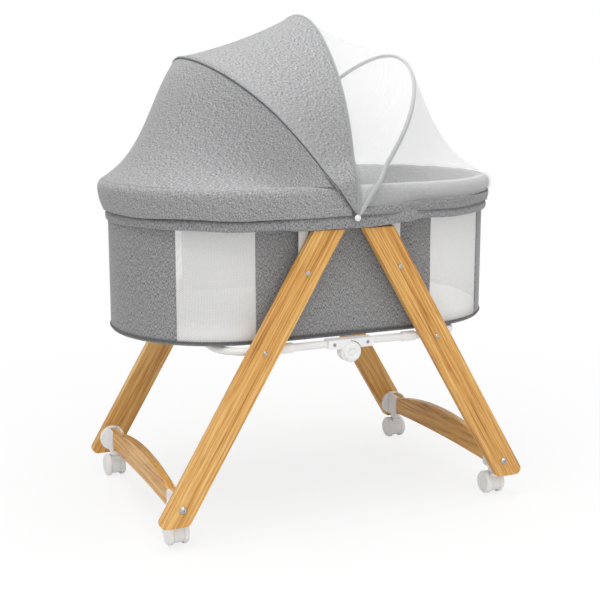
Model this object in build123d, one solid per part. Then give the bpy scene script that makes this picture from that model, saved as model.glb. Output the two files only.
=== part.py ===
from build123d import *
import os
from math import atan2, cos, degrees, radians, sin

# Bassinet on a folding A-frame stand. Millimetres, +Z up, +X along the basket, the hood over -X.
# The origin is on the floor, under the middle of the basket.

# Driving dimensions of the stand
leg_face_y = 270.0          # outer faces of the legs
leg_width = 60.0
leg_thick = 18.0
leg_foot_x = 422.4          # leg centre line where it would meet the floor
leg_slope = 0.59            # sideways run of the leg for each unit of height
leg_bottom_z = 50.0
leg_top_z = 624.0
leg_pivot_z = 540.0
rail_pivot_z = 385.0
foot_bolt_z = 86.0

# Driving dimensions of the rails and the folding hub
rail_y = 243.0
rail_radius = 8.0
rail_bore = 6.8
rail_end_x = 270.0
rail_bend = 70.0
hub_z = 367.5
hub_radius = 22.0
hub_ear_x = 51.0            # reach of an ear from the hub's axis
hub_front_y = 258.0
hub_back_y = 234.6
hub_split_y = 245.0

# Driving dimensions of the basket: the plan is a stadium, straight sides and round ends
basket_straight = 196.0     # half length of the straight side
wall_radius = 229.0         # outer face of the cloth wall, and its half width
cloth = 2.0
tray_z = 394.5
piping_z = 402.0
piping_radius = 2.0
wall_top_z = 642.0
window_from = 0.5           # window edges, degrees round the end from the long side
window_to = 41.0
mattress_top_z = 429.0
rim_tube_radius = 9.0
rim_tube_at = 241.0         # half width of the rim tube's centre line
rim_tube_z = 652.0
rim_straight = 176.0        # the padded rim and the skirts have shorter straight sides
rim_pad_top_z = 708.0
skirt_straight = 163.0
skirt_turn_x = 122.0        # from here to the ends the skirts draw in towards the wall
skirt_bottom_z = 638.0
valance_bottom_z = 621.0

# Driving dimensions of the hood and the net
bow_z = 646.0               # common pivot of the bows, at x = 0
mid_height = 402.6          # crowns of the middle, front and net bows over the pivot
front_height = 396.1
net_height = 384.4
mid_crown = 250.0           # radii of the arches' top arcs
front_crown = 200.0
net_crown = 250.0
arch_foot = 70.0            # the feet stand upright up to here
bow_wire = 1.5
bow_eye = 7.5
bow_pin = 3.0
mid_tilt = -38.7
front_tilt = -1.5
net_tilt = 34.5
mid_half = 256.2            # half widths: the eyes sit side by side on the pivot
front_half = 259.4
net_half = 262.6
hood_half = 266.2           # inner face of the hood cloth
hood_lift = 4.5             # from a bow's crown to the cloth over it
hood_base_z = 710.0

# Driving dimensions of the casters
wheel_radius = 25.0
wheel_thick = 11.0
caster_half = 10.5          # half width of the body between the wheels
caster_y = 230.0
caster_trail = 8.0
stem_radius = 5.0

running_gap = 0.05          # radial clearance of a turning fit
part_gap = 0.4              # clearance between pieces that pass each other

leg_lean = degrees(atan2(leg_slope, 1.0))
nodes = {}


def leg_x(z):
    return leg_foot_x - leg_slope * z


def group(*solids):
    return Compound(children=list(solids))


def on_side(shape, side_x, side_y):
    # Carries a piece drawn at front left to another corner of the stand.
    if side_x > 0:
        shape = mirror(shape, about=Plane.YZ)
    if side_y > 0:
        shape = mirror(shape, about=Plane.XZ)
    return shape


def rod_y(x, z, radius, y_from, y_to):
    return Pos(x, min(y_from, y_to), z) * Rot(-90, 0, 0) * Cylinder(
        radius, abs(y_to - y_from), align=(Align.CENTER, Align.CENTER, Align.MIN))


def rod_x(y, z, radius, x_from, x_to):
    return Pos(x_from, y, z) * Rot(0, 90, 0) * Cylinder(
        radius, x_to - x_from, align=(Align.CENTER, Align.CENTER, Align.MIN))


def spun_y(outline, x, z):
    # Turned piece: outline of (radius, y) corners, spun about a Y axis through (x, z).
    sketch = make_face(Polyline(*outline, close=True))
    return Pos(x, 0, z) * revolve(sketch, Axis.Y)


# Rings that follow the basket's plan: a section is drawn as (distance from the spine, height)
def end_arc(section, straight, start, sweep):
    # Section carried round the +X end, in degrees from the front.
    turn = radians(start)
    plane = Plane((straight, 0, 0), x_dir=(sin(turn), -cos(turn), 0), z_dir=(-cos(turn), -sin(turn), 0))
    return revolve(plane * section, Axis((straight, 0, 0), (0, 0, 1)), sweep)


def side_run(section, x_from, x_to):
    # Section carried along the front side.
    plane = Plane((x_to, 0, 0), x_dir=(0, -1, 0), z_dir=(-1, 0, 0))
    return extrude(plane * section, x_to - x_from)


def half_ring(section, straight, x_from, end_section=None):
    # Section carried from x_from along the front, round the +X end and back along the rear.
    # An end section takes over round the end, after a run that turns one into the other.
    if end_section is None:
        end_section = section
        run = side_run(section, x_from, straight)
    else:
        planes = [Plane((x, 0, 0), x_dir=(0, -1, 0), z_dir=(-1, 0, 0)) for x in (skirt_turn_x, straight)]
        run = side_run(section, x_from, skirt_turn_x) + loft([planes[0] * section, planes[1] * end_section])
    return run + end_arc(end_section, straight, 0, 180) + mirror(run, about=Plane.XZ)


def full_ring(section, straight, end_section=None):
    half = half_ring(section, straight, 0, end_section)
    return half + mirror(half, about=Plane.YZ)


def plan(radius, straight=basket_straight):
    return SlotOverall(2 * (straight + radius), 2 * radius)


# Arch of the bows: upright feet, two side arcs and a crown arc, all tangent
def arch(half, height, crown, foot):
    lift = height - crown - arch_foot
    side = (half**2 + lift**2 - crown**2) / (2 * (half - crown))
    shift = side - half
    bend = atan2(lift, shift)
    start = (-half, arch_foot)
    between = (shift - side * cos(bend / 2), arch_foot + side * sin(bend / 2))
    joint = (shift - side * cos(bend), arch_foot + side * sin(bend))
    top = ThreePointArc(joint, (0, height), (-joint[0], joint[1]))
    left = [ThreePointArc(start, between, joint)]
    right = [ThreePointArc((-joint[0], joint[1]), (-between[0], between[1]), (half, arch_foot))]
    if foot < arch_foot:
        left.insert(0, Line((-half, foot), start))
        right.append(Line((half, arch_foot), (half, foot)))
    return [piece.edge() for piece in left + [top] + right]


def bow_plane(tilt):
    turn = radians(tilt)
    return Plane((0, 0, bow_z), x_dir=(0, 1, 0), z_dir=(cos(turn), 0, -sin(turn)))


def arch_tube(half, height, crown, tilt, outer, inner, foot):
    path = bow_plane(tilt) * Wire(arch(half, height, crown, foot))
    start = Plane(path @ 0, z_dir=path % 0)
    section = Circle(outer) - Circle(inner) if inner else Circle(outer)
    return sweep(start * section, path=path)


def bow(half, height, crown, tilt):
    wire = arch_tube(half, height, crown, tilt, bow_wire, 0, bow_eye - bow_wire)
    hole = rod_y(0, bow_z, bow_pin + running_gap, -half - 2, half + 2)
    eye_half = 1.2
    for side in (-1, 1):
        wire += rod_y(0, bow_z, bow_eye, side * half - eye_half, side * half + eye_half)
    return wire - hole


def cloth_band(plane, half, height, crown, foot, thick):
    # Closed section of a sheet that follows an arch.
    outer = arch(half + thick, height + thick, crown + thick, foot)
    inner = arch(half, height, crown, foot)
    feet = [Line((-half - thick, foot), (-half, foot)), Line((half + thick, foot), (half, foot))]
    return plane * Face(Wire(outer + inner + [line.edge() for line in feet]))


# Basket frame
tube_section = Pos(rim_tube_at, rim_tube_z) * (Circle(rim_tube_radius) - Circle(rim_tube_radius - 1.2))
nodes["rim_tube"] = full_ring(tube_section, rim_straight)
tube_core = full_ring(Pos(rim_tube_at, rim_tube_z) * Circle(rim_tube_radius), rim_straight)

hanger_front, hanger_back, hanger_half = 250.0, 246.0, 10.0
pivot_x = leg_x(leg_pivot_z)
hanger_profile = Pos(-pivot_x, (leg_pivot_z + rim_tube_z) / 2) * Rectangle(
    2 * hanger_half, rim_tube_z - leg_pivot_z) + Pos(-pivot_x, leg_pivot_z) * Circle(hanger_half)
hanger = Pos(0, -hanger_back, 0) * extrude(Plane.XZ * hanger_profile, hanger_front - hanger_back)
hanger -= rod_y(-pivot_x, leg_pivot_z, bow_pin, -hanger_front - 1, -hanger_back + 1)
hanger -= tube_core
corners = [(sx, sy) for sx in (-1, 1) for sy in (-1, 1)]
hangers = [on_side(hanger, sx, sy) for sx, sy in corners]
nodes["leg_hangers"] = group(*hangers)

head_radius, head_top, nut_end = 4.6, 3.6, 4.5
bolt_face_y = -leg_face_y - part_gap
pivot_outline = [
    (0, -leg_face_y - head_top), (head_radius / 2, -leg_face_y - head_top), (head_radius, bolt_face_y - 2),
    (head_radius, bolt_face_y), (bow_pin, bolt_face_y), (bow_pin, -hanger_back), (head_radius, -hanger_back),
    (head_radius, -hanger_back + nut_end), (0, -hanger_back + nut_end)]
pivot_bolt = spun_y(pivot_outline, -pivot_x, leg_pivot_z)
nodes["leg_pivot_bolts"] = group(*[on_side(pivot_bolt, sx, sy) for sx, sy in corners])

# Padded rim, valance and skirts
pad_inner, pad_outer, pad_crown, pad_foot = 224.0, 251.0, 12.0, 2.0
pad_section = Pos((pad_inner + pad_outer) / 2, (wall_top_z + rim_pad_top_z) / 2) * Rectangle(
    pad_outer - pad_inner, rim_pad_top_z - wall_top_z)
pad_section = fillet(pad_section.vertices().group_by(Axis.Y)[-1], pad_crown)
pad_section = fillet(pad_section.vertices().group_by(Axis.Y)[0], pad_foot)
pad = full_ring(pad_section, rim_straight)
nodes["rim_padding"] = (pad - tube_core).cut(*hangers)

flap_side, flap_end, flap_end_low = 274.0, 266.3, 264.5      # outer face along the sides and round the ends
flap_thick, shelf_low, shelf_top = 2.0, 664.0, 667.0


def valance_section(outer, outer_low):
    # Shelf over the bows' pivots and a flap that hangs down from it.
    return make_face(Polyline(
        (pad_outer, shelf_low), (outer - flap_thick, shelf_low), (outer_low - flap_thick, valance_bottom_z),
        (outer_low, valance_bottom_z), (outer, shelf_low), (outer, shelf_top),
        (pad_outer, shelf_top), close=True))


valance_end = valance_section(flap_end, flap_end_low)
valance = full_ring(valance_section(flap_side, flap_side), skirt_straight, valance_end) - pad
bow_slot = Pos(-30, 261.2, shelf_top) * Box(130, 14.4, 10)
valance -= bow_slot + mirror(bow_slot, about=Plane.XZ)
nodes["rim_valance"] = valance - rod_y(0, bow_z, 4.0, -300, 300)

skirt_end_x = 12.0


def skirt(*outline):
    # Thin section: arcs through three points at a time from the hem up, and the same lining inside them.
    lining = [(distance - lining_in, height - lining_down) for distance, height in outline]
    edges = [ThreePointArc(*line[i:i + 3]) for line in (outline, lining) for i in range(0, len(line) - 2, 2)]
    edges += [Line(outline[0], lining[0]), Line(outline[-1], lining[-1])]
    return Face(Wire([edge.edge() for edge in edges]))


lining_in, lining_down = 1.6, 1.2
hem_side, hem_end = (277.0, skirt_bottom_z), (267.5, skirt_bottom_z)
net_side = skirt((277, 645), (280, 654), (276.5, 663))
net_end = skirt((270, 653), (275, 663.5), (275.5, 674))
nodes["net_hem"] = half_ring(net_side, skirt_straight, skirt_end_x, net_end)
shoulder = [(281, rim_pad_top_z - 10), (278.3, rim_pad_top_z - 3.5), (271.5, rim_pad_top_z)]
hood_side, hood_end = skirt(hem_side, (280.5, 668), *shoulder), skirt(hem_end, (275.8, 665), *shoulder)
hood_skirt = half_ring(hood_side, skirt_straight, skirt_end_x, hood_end)
nodes["hood_skirt"] = mirror(hood_skirt, about=Plane.YZ)

# Cloth walls with mesh windows
wall_low = piping_z + piping_radius
wall_height, mesh_thick = wall_top_z - wall_low, 1.0
wall_middle = Pos(wall_radius - cloth / 2, (wall_low + wall_top_z) / 2)
wall_section = wall_middle * Rectangle(cloth, wall_height)
mesh_section = wall_middle * Rectangle(mesh_thick, wall_height)
window = end_arc(mesh_section, basket_straight, window_from, window_to - window_from)
for side_x, side_word in ((-1, "left"), (1, "right")):
    for side_y, end_word in ((-1, "front"), (1, "rear")):
        nodes[f"window_{end_word}_{side_word}"] = on_side(window, -side_x, side_y)
end_panel = end_arc(wall_section, basket_straight, window_to, 180 - 2 * window_to)
nodes["end_panel_right"] = end_panel
nodes["end_panel_left"] = mirror(end_panel, about=Plane.YZ)
panel_end = end_arc(wall_section, basket_straight, 0, window_from)
centre_panel = side_run(wall_section, -basket_straight, basket_straight)
centre_panel += panel_end + mirror(panel_end, about=Plane.YZ)
nodes["centre_panel_front"] = centre_panel
nodes["centre_panel_rear"] = mirror(centre_panel, about=Plane.XZ)

nodes["hem_piping"] = full_ring(Pos(wall_radius, piping_z) * Circle(piping_radius), basket_straight)
tray_top = piping_z - piping_radius
tray = Pos(0, 0, tray_z) * extrude(plan(wall_radius), tray_top - tray_z)
tray = fillet(tray.edges().group_by(Axis.Z)[0], 4.5)
nodes["base_tray"] = tray - Pos(0, 0, tray_z + cloth) * extrude(plan(wall_radius - cloth), tray_top)
board_low, board_top, board_gap = tray_z + cloth, tray_z + cloth + 4, 1.0
board_plan = plan(wall_radius - cloth - board_gap)
nodes["base_board"] = Pos(0, 0, board_low) * extrude(board_plan, board_top - board_low)

# Mattress: crowned top and drawn-in sides
pad_half = wall_radius - cloth - 2.5
foot_round, side_top, side_draw, shoulder = 4.0, 18.0, 2.0, 23.5
corner_dip = foot_round * (1 - cos(radians(45)))
low_edge, high_edge = (pad_half, board_top + foot_round), (pad_half, board_top + side_top)
foot_edge, crown_edge = (pad_half - foot_round, board_top), (pad_half - 6, board_top + shoulder)
mattress_outline = [
    Line((0, board_top), foot_edge),
    ThreePointArc(foot_edge, (pad_half - corner_dip, board_top + corner_dip), low_edge),
    ThreePointArc(low_edge, (pad_half - side_draw, board_top + (foot_round + side_top) / 2), high_edge),
    ThreePointArc(high_edge, (pad_half - 1.8, board_top + 22), crown_edge),
    ThreePointArc(crown_edge, (pad_half / 2, mattress_top_z - 1), (0, mattress_top_z)),
    Line((0, mattress_top_z), (0, board_top))]
nodes["mattress"] = full_ring(Face(Wire([edge.edge() for edge in mattress_outline])), basket_straight)

# Hood and net: bows on one pivot, sewn sleeves, cloth between them
seat_radius, seat_y, cap_radius, cap_y = 7.0, pad_outer + 2, 6.8, 281.5
cap_outline = [
    (0, -pad_outer), (seat_radius, -pad_outer), (seat_radius, -seat_y), (bow_pin, -seat_y), (bow_pin, -cap_y),
    (cap_radius, -cap_y), (cap_radius, -cap_y - 1.5), (cap_radius - 3.5, -cap_y - 3.5), (0, -cap_y - 4.1)]
hood_pivot = spun_y(cap_outline, 0, bow_z)
nodes["hood_pivots"] = group(hood_pivot, mirror(hood_pivot, about=Plane.XZ))
nodes["hood_mid_bow"] = bow(mid_half, mid_height, mid_crown, mid_tilt)
nodes["hood_front_bow"] = bow(front_half, front_height, front_crown, front_tilt)
nodes["net_bow"] = bow(net_half, net_height, net_crown, net_tilt)
sleeve_foot, sleeve_bore, sleeve_radius, binding_radius = 62.0, bow_wire + 0.1, 2.8, 4.0
nodes["hood_mid_sleeve"] = arch_tube(
    mid_half, mid_height, mid_crown, mid_tilt, sleeve_radius, sleeve_bore, sleeve_foot)
nodes["hood_front_binding"] = arch_tube(
    front_half, front_height, front_crown, front_tilt, binding_radius, sleeve_bore, sleeve_foot)
nodes["net_binding"] = arch_tube(
    net_half, net_height, net_crown, net_tilt, sleeve_radius, sleeve_bore, sleeve_foot)

net_cloth, edge_tilt = 1.0, 0.6
base_crown, base_reach = 262.0, 431.0
base_left = Plane((0, 0, hood_base_z), x_dir=(0, 1, 0), z_dir=(0, 0, 1))
base_right = Plane((0, 0, hood_base_z), x_dir=(0, 1, 0), z_dir=(0, 0, -1))
# Tilt, height and crown radius of the sections where the cloth is drawn in
hood_waists = [(-55.3, 388.3, 207.0), (-65.2, 383.3, 223.1)]
net_waists = [(53.0, 351.6, 201.0), (67.7, 358.3, 229.8)]


def hood_section(height, crown, tilt, thick):
    return cloth_band(bow_plane(tilt), hood_half, height + hood_lift, crown, arch_foot, thick)


def drawn_panel(bow_section, waists, base, thick):
    # Sheet from a bow to the rim, drawn in between them.
    sections = [bow_section]
    sections += [cloth_band(bow_plane(tilt), hood_half, height, crown, arch_foot, thick)
                 for tilt, height, crown in waists]
    sections += [cloth_band(base, hood_half, base_reach, base_crown, arch_foot, thick)]
    return loft(sections, ruled=True)


front_edges = [hood_section(front_height, front_crown, front_tilt + side * edge_tilt, thick)
               for side, thick in ((-1, cloth), (1, net_cloth))]
mid_edges = [hood_section(mid_height, mid_crown, mid_tilt + side * edge_tilt, cloth) for side in (-1, 1)]
net_edges = [hood_section(net_height, net_crown, net_tilt + side * edge_tilt, net_cloth) for side in (-1, 1)]
nodes["hood_front_panel"] = loft([front_edges[0], mid_edges[1]], ruled=True)
nodes["hood_rear_panel"] = drawn_panel(mid_edges[0], hood_waists, base_left, cloth)
nodes["net_front_panel"] = loft([front_edges[1], net_edges[0]], ruled=True)
nodes["net_end_panel"] = drawn_panel(net_edges[1], net_waists, base_right, net_cloth)

# Legs
leg_inner_y = leg_face_y - leg_thick
half_cut = leg_width / 2 / cos(radians(leg_lean))
bolt_x, screw_x = leg_x(foot_bolt_z), leg_x(rail_pivot_z)
bolt_radius, screw_radius = 4.0, 2.5
leg_outline = Polyline(
    (-leg_x(leg_bottom_z) - half_cut, leg_bottom_z), (-leg_x(leg_bottom_z) + half_cut, leg_bottom_z),
    (-leg_x(leg_top_z) + half_cut, leg_top_z), (-leg_x(leg_top_z) - half_cut, leg_top_z), close=True)
leg_face = make_face(leg_outline)
leg_face = fillet(leg_face.vertices().group_by(Axis.Y)[0], 13)
leg = Pos(0, -leg_inner_y, 0) * extrude(Plane.XZ * leg_face, leg_thick)
leg = fillet(leg.faces().group_by(Axis.Y)[0].edges() + leg.faces().group_by(Axis.Y)[-1].edges(), 2)
leg -= rod_y(-pivot_x, leg_pivot_z, bow_pin + running_gap, -leg_face_y - 1, -leg_inner_y + 1)
leg -= rod_y(-bolt_x, foot_bolt_z, bolt_radius, -leg_face_y - 1, -leg_inner_y + 1)
leg -= rod_y(-screw_x, rail_pivot_z, screw_radius, -leg_face_y - 1, -leg_inner_y + 1)

hex_recess, washer_radius, bolt_head, bolt_end_y = 3.0, 7.5, 4.5, 246.0
foot_outline = [
    (0, -leg_face_y - 2), (hex_recess, -leg_face_y - 2), (hex_recess, -leg_face_y - bolt_head),
    (hex_recess + 2, -leg_face_y - bolt_head), (washer_radius, -leg_face_y - 1.5),
    (washer_radius, -leg_face_y), (bolt_radius, -leg_face_y), (bolt_radius, -bolt_end_y), (0, -bolt_end_y)]
foot_bolt = spun_y(foot_outline, -bolt_x, foot_bolt_z)
screw_head, screw_end_y = 4.5, leg_inner_y + 1
screw_outline = [
    (0, -leg_face_y - 1.2), (1.6, -leg_face_y - 2.6), (3.2, -leg_face_y - 2.2), (screw_head, -leg_face_y),
    (screw_radius, -leg_face_y), (screw_radius, -screw_end_y), (0, -screw_end_y)]
rail_screw = spun_y(screw_outline, -screw_x, rail_pivot_z)

# Foot bracket: a disc on the leg, two cheeks for the stretcher and a socket for the caster
disc_radius, disc_thick, cheek_thick = 29.0, 8.0, 4.0
stretcher_half, stretcher_gap = 9.0, 0.2
cheek_inner_y, cheek_low, cheek_top, web_low = 206.0, 66.0, 114.0, 62.0
boss_low, boss_radius, socket_top = 53.5, 11.5, 63.5
disc_y = leg_inner_y - disc_thick
bracket = rod_y(-bolt_x, foot_bolt_z, disc_radius, -leg_inner_y, -disc_y)
bracket = fillet(bracket.edges().group_by(Axis.Y)[-1], 4)
cheek_face = Pos(-(disc_y + cheek_inner_y) / 2, (web_low + cheek_top) / 2) * Rectangle(
    disc_y - cheek_inner_y, cheek_top - web_low)
cheek_face = fillet(cheek_face.vertices().group_by(Axis.X)[-1], 9)
clevis_half = stretcher_half + stretcher_gap + cheek_thick
clevis = Pos(-bolt_x - clevis_half, 0, 0) * extrude(Plane.YZ * cheek_face, 2 * clevis_half)
slot_low = cheek_low + stretcher_gap
clevis -= Pos(-bolt_x, -disc_y, slot_low) * Box(
    2 * (stretcher_half + stretcher_gap), 120, 200, align=(Align.CENTER, Align.CENTER, Align.MIN))
bracket += clevis
bracket += Pos(-bolt_x, -caster_y, boss_low) * Cylinder(
    boss_radius, cheek_low - boss_low, align=(Align.CENTER, Align.CENTER, Align.MIN))
bracket -= Pos(-bolt_x, -caster_y, boss_low) * Cylinder(
    stem_radius + running_gap, socket_top - boss_low, align=(Align.CENTER, Align.CENTER, Align.MIN))
bracket -= rod_y(-bolt_x, foot_bolt_z, bolt_radius, -leg_inner_y - 1, -bolt_end_y)

# Stretcher: straight ends in the brackets, arched top and slightly arched lower edge
stretcher_end, stretcher_low = disc_y - 2, cheek_low + 2 * stretcher_gap
end_height, crown_height, low_rise = 42.0, 68.0, 7.0
low_arc = ThreePointArc(
    (-stretcher_end, stretcher_low), (0, stretcher_low + low_rise), (stretcher_end, stretcher_low))
shoulder_y, shoulder_z = cheek_inner_y, stretcher_low + end_height
crown_point = (0, stretcher_low + crown_height)
top_arc = ThreePointArc((-shoulder_y, shoulder_z), crown_point, (shoulder_y, shoulder_z))
stretcher_lines = [
    Line((stretcher_end, stretcher_low), (stretcher_end, shoulder_z)),
    Line((stretcher_end, shoulder_z), (shoulder_y, shoulder_z)),
    Line((-shoulder_y, shoulder_z), (-stretcher_end, shoulder_z)),
    Line((-stretcher_end, shoulder_z), (-stretcher_end, stretcher_low))]
stretcher_face = Face(Wire([low_arc.edge(), top_arc.edge()] + [line.edge() for line in stretcher_lines]))
stretcher = Pos(-bolt_x - stretcher_half, 0, 0) * extrude(Plane.YZ * stretcher_face, 2 * stretcher_half)
stretcher = fillet(stretcher.edges().filter_by(GeomType.CIRCLE), 2)

# Rails: a steel tube bent to a U, with a collar, a spacer and half of the hub at each end
ear_in = 26.0
rail_points = [(-ear_in, -rail_y, rail_pivot_z), (-rail_end_x, -rail_y, rail_pivot_z),
               (-rail_end_x, rail_y, rail_pivot_z), (-ear_in, rail_y, rail_pivot_z)]
rail_path = FilletPolyline(*rail_points, radius=rail_bend)
rail_start = Plane(rail_points[0], z_dir=(-1, 0, 0))
rail_tube = sweep(rail_start * (Circle(rail_radius) - Circle(rail_bore)), path=rail_path)
rail_core = rod_x(-rail_y, rail_pivot_z, rail_radius, -rail_end_x + rail_bend, -ear_in)
collar_x, collar_half, collar_radius, collar_flat = 140.0, 15.5, 10.5, 8.6
collar = rod_x(-rail_y, rail_pivot_z, collar_radius, -collar_x - collar_half, -collar_x + collar_half)
collar = fillet(collar.edges(), 1.5) - rail_core
collar &= Pos(-collar_x, -rail_y, rail_pivot_z) * Box(4 * collar_half, 2 * collar_flat, 4 * collar_radius)
spacer_radius = 7.0
spacer = rod_y(-screw_x, rail_pivot_z, spacer_radius, -leg_inner_y + part_gap, -rail_y)
spacer -= rod_x(-rail_y, rail_pivot_z, rail_radius, -rail_end_x, -ear_in)

ear_low, ear_top = 375.5, 394.5
ear_face = Pos(-hub_ear_x / 2 - part_gap, (ear_low + ear_top) / 2) * Rectangle(hub_ear_x, ear_top - ear_low)
ear_face = fillet(ear_face.vertices().group_by(Axis.X)[0], 4)
knuckle_face = ear_face + Pos(0, hub_z) * Circle(hub_radius)
turn_room = Pos(0, hub_z) * Circle(hub_radius + 1.5)
pin_radius = 5.0


def knuckle(disc_from, disc_to):
    # Half of the hub: a disc on the pin in one layer, and an ear of full depth on the tube.
    disc = Pos(0, -disc_to, 0) * extrude(Plane.XZ * knuckle_face, disc_from - disc_to)
    reach = Pos(0, -hub_back_y, 0) * extrude(Plane.XZ * ear_face, hub_front_y - hub_back_y)
    reach -= Pos(0, -hub_back_y + 1, 0) * extrude(Plane.XZ * turn_room, hub_front_y - hub_back_y + 2)
    half = disc + reach - rod_y(0, hub_z, pin_radius + running_gap, -300, -200)
    return half - rail_core


knuckle_left = knuckle(hub_front_y, hub_split_y)
knuckle_right = mirror(knuckle(hub_split_y - part_gap, hub_back_y), about=Plane.YZ)
ring_inner, ring_outer, ring_y, clip_radius = 8.5, 13.5, hub_front_y + 4.5, 9.0
pin_face_y, pin_back_y = -hub_front_y - part_gap, -hub_back_y + part_gap
pin_outline = [
    (0, -ring_y + 1), (ring_inner, -ring_y + 1), (ring_inner + 1, -ring_y), (ring_outer - 1, -ring_y),
    (ring_outer, -ring_y + 1), (ring_outer, pin_face_y), (pin_radius, pin_face_y), (pin_radius, pin_back_y),
    (clip_radius, pin_back_y), (clip_radius, -hub_back_y + 2), (0, -hub_back_y + 2)]
hub_pin = spun_y(pin_outline, 0, hub_z)
nodes["hub_pins"] = group(hub_pin, mirror(hub_pin, about=Plane.XZ))
hub_screw_x = 38.0
hub_screw_outline = [
    (0, -hub_front_y - 0.8), (1.5, -hub_front_y - 1.8), (3.2, -hub_front_y - 1.2), (3.5, -hub_front_y),
    (0, -hub_front_y)]
hub_screw = spun_y(hub_screw_outline, -hub_screw_x, rail_pivot_z)

# Casters: a body with its stem, and two wheels on one axle
body_radius, body_cut_z, neck_top, axle_radius = 24.0, 9.0, 52.5, 3.0
wheel_y = -caster_y + caster_trail
body_face = Pos(wheel_y, wheel_radius) * Circle(body_radius) + Pos(-caster_y + 2, 38) * Rectangle(24, 22)
body_face -= Pos(wheel_y, body_cut_z - 20) * Rectangle(80, 40)
caster_body = Pos(-bolt_x - caster_half, 0, 0) * extrude(Plane.YZ * body_face, 2 * caster_half)
caster_body += Pos(-bolt_x, -caster_y, 40) * Cylinder(
    8.0, neck_top - 40, align=(Align.CENTER, Align.CENTER, Align.MIN))
caster_body += Pos(-bolt_x, -caster_y, 40) * Cylinder(
    stem_radius, socket_top - 1 - 40, align=(Align.CENTER, Align.CENTER, Align.MIN))
caster_body -= rod_x(wheel_y, wheel_radius, axle_radius + running_gap, -bolt_x - 30, -bolt_x + 30)
axle_half = caster_half + part_gap + 7
axle = rod_x(wheel_y, wheel_radius, axle_radius, -bolt_x - axle_half, -bolt_x + axle_half)
wheel_outline = make_face(Polyline(
    (0, 0), (wheel_radius - 1, 0), (wheel_radius, 1), (wheel_radius, wheel_thick - 3.5),
    (wheel_radius - 3, wheel_thick), (wheel_radius - 7, wheel_thick), (wheel_radius - 8, wheel_thick - 1),
    (0, wheel_thick - 1), close=True))
wheel = revolve(wheel_outline, Axis.Y)
wheel = Pos(-bolt_x + caster_half + part_gap, wheel_y, wheel_radius) * Rot(0, 0, -90) * wheel
wheel -= axle
other_wheel = Pos(-2 * bolt_x, 0, 0) * mirror(wheel, about=Plane.YZ)

for side_x, side_word in ((-1, "left"), (1, "right")):
    both = [(side_x, -1), (side_x, 1)]
    nodes[f"leg_brackets_{side_word}"] = group(*[on_side(bracket, *at) for at in both])
    nodes[f"foot_bolts_{side_word}"] = group(*[on_side(foot_bolt, *at) for at in both])
    nodes[f"rail_screws_{side_word}"] = group(*[on_side(rail_screw, *at) for at in both])
    nodes[f"stretcher_{side_word}"] = on_side(stretcher, side_x, -1)
    nodes[f"rail_{side_word}"] = on_side(rail_tube, side_x, -1)
    fittings = [on_side(piece, *at) for at in both for piece in (collar, spacer)]
    nodes[f"rail_collars_{side_word}"] = group(*fittings)
    nodes[f"hub_screws_{side_word}"] = group(*[on_side(hub_screw, *at) for at in both])
    half = knuckle_left if side_x < 0 else knuckle_right
    nodes[f"hub_half_{side_word}"] = group(half, mirror(half, about=Plane.XZ))
    for side_y, end_word in ((-1, "front"), (1, "rear")):
        nodes[f"leg_{end_word}_{side_word}"] = on_side(leg, side_x, side_y)
        shift = Pos(0, 2 * caster_y, 0) if side_y > 0 else Pos(0, 0, 0)
        nodes[f"caster_{end_word}_{side_word}"] = shift * on_side(caster_body, side_x, -1)
        pair = [on_side(piece, side_x, -1) for piece in (wheel, other_wheel, axle)]
        nodes[f"caster_wheels_{end_word}_{side_word}"] = group(*[shift * piece for piece in pair])

os.makedirs("parts", exist_ok=True)
for name, shape in nodes.items():
    export_step(shape, f"parts/{name}.step")
print(len(nodes), "nodes written")
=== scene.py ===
from math import cos, pi, radians, sin

import bmesh
import bpy
import numpy as np
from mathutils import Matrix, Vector


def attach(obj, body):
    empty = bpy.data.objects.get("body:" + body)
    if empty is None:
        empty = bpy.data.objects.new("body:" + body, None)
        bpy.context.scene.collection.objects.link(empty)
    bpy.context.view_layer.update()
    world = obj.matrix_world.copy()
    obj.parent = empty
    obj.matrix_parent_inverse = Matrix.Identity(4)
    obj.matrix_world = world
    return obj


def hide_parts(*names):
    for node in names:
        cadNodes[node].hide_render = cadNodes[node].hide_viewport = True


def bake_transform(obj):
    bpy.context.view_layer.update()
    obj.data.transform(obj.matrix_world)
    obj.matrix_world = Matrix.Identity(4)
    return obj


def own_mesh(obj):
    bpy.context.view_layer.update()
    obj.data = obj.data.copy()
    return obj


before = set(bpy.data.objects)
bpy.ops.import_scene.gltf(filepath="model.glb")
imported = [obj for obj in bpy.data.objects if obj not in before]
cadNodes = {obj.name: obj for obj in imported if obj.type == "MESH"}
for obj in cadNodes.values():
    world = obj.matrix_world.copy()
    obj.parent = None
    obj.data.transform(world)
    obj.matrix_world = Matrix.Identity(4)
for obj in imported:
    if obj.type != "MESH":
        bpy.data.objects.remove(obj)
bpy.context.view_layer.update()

print("frame loaded,", len(cadNodes), "rigid and soft nodes")


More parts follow.
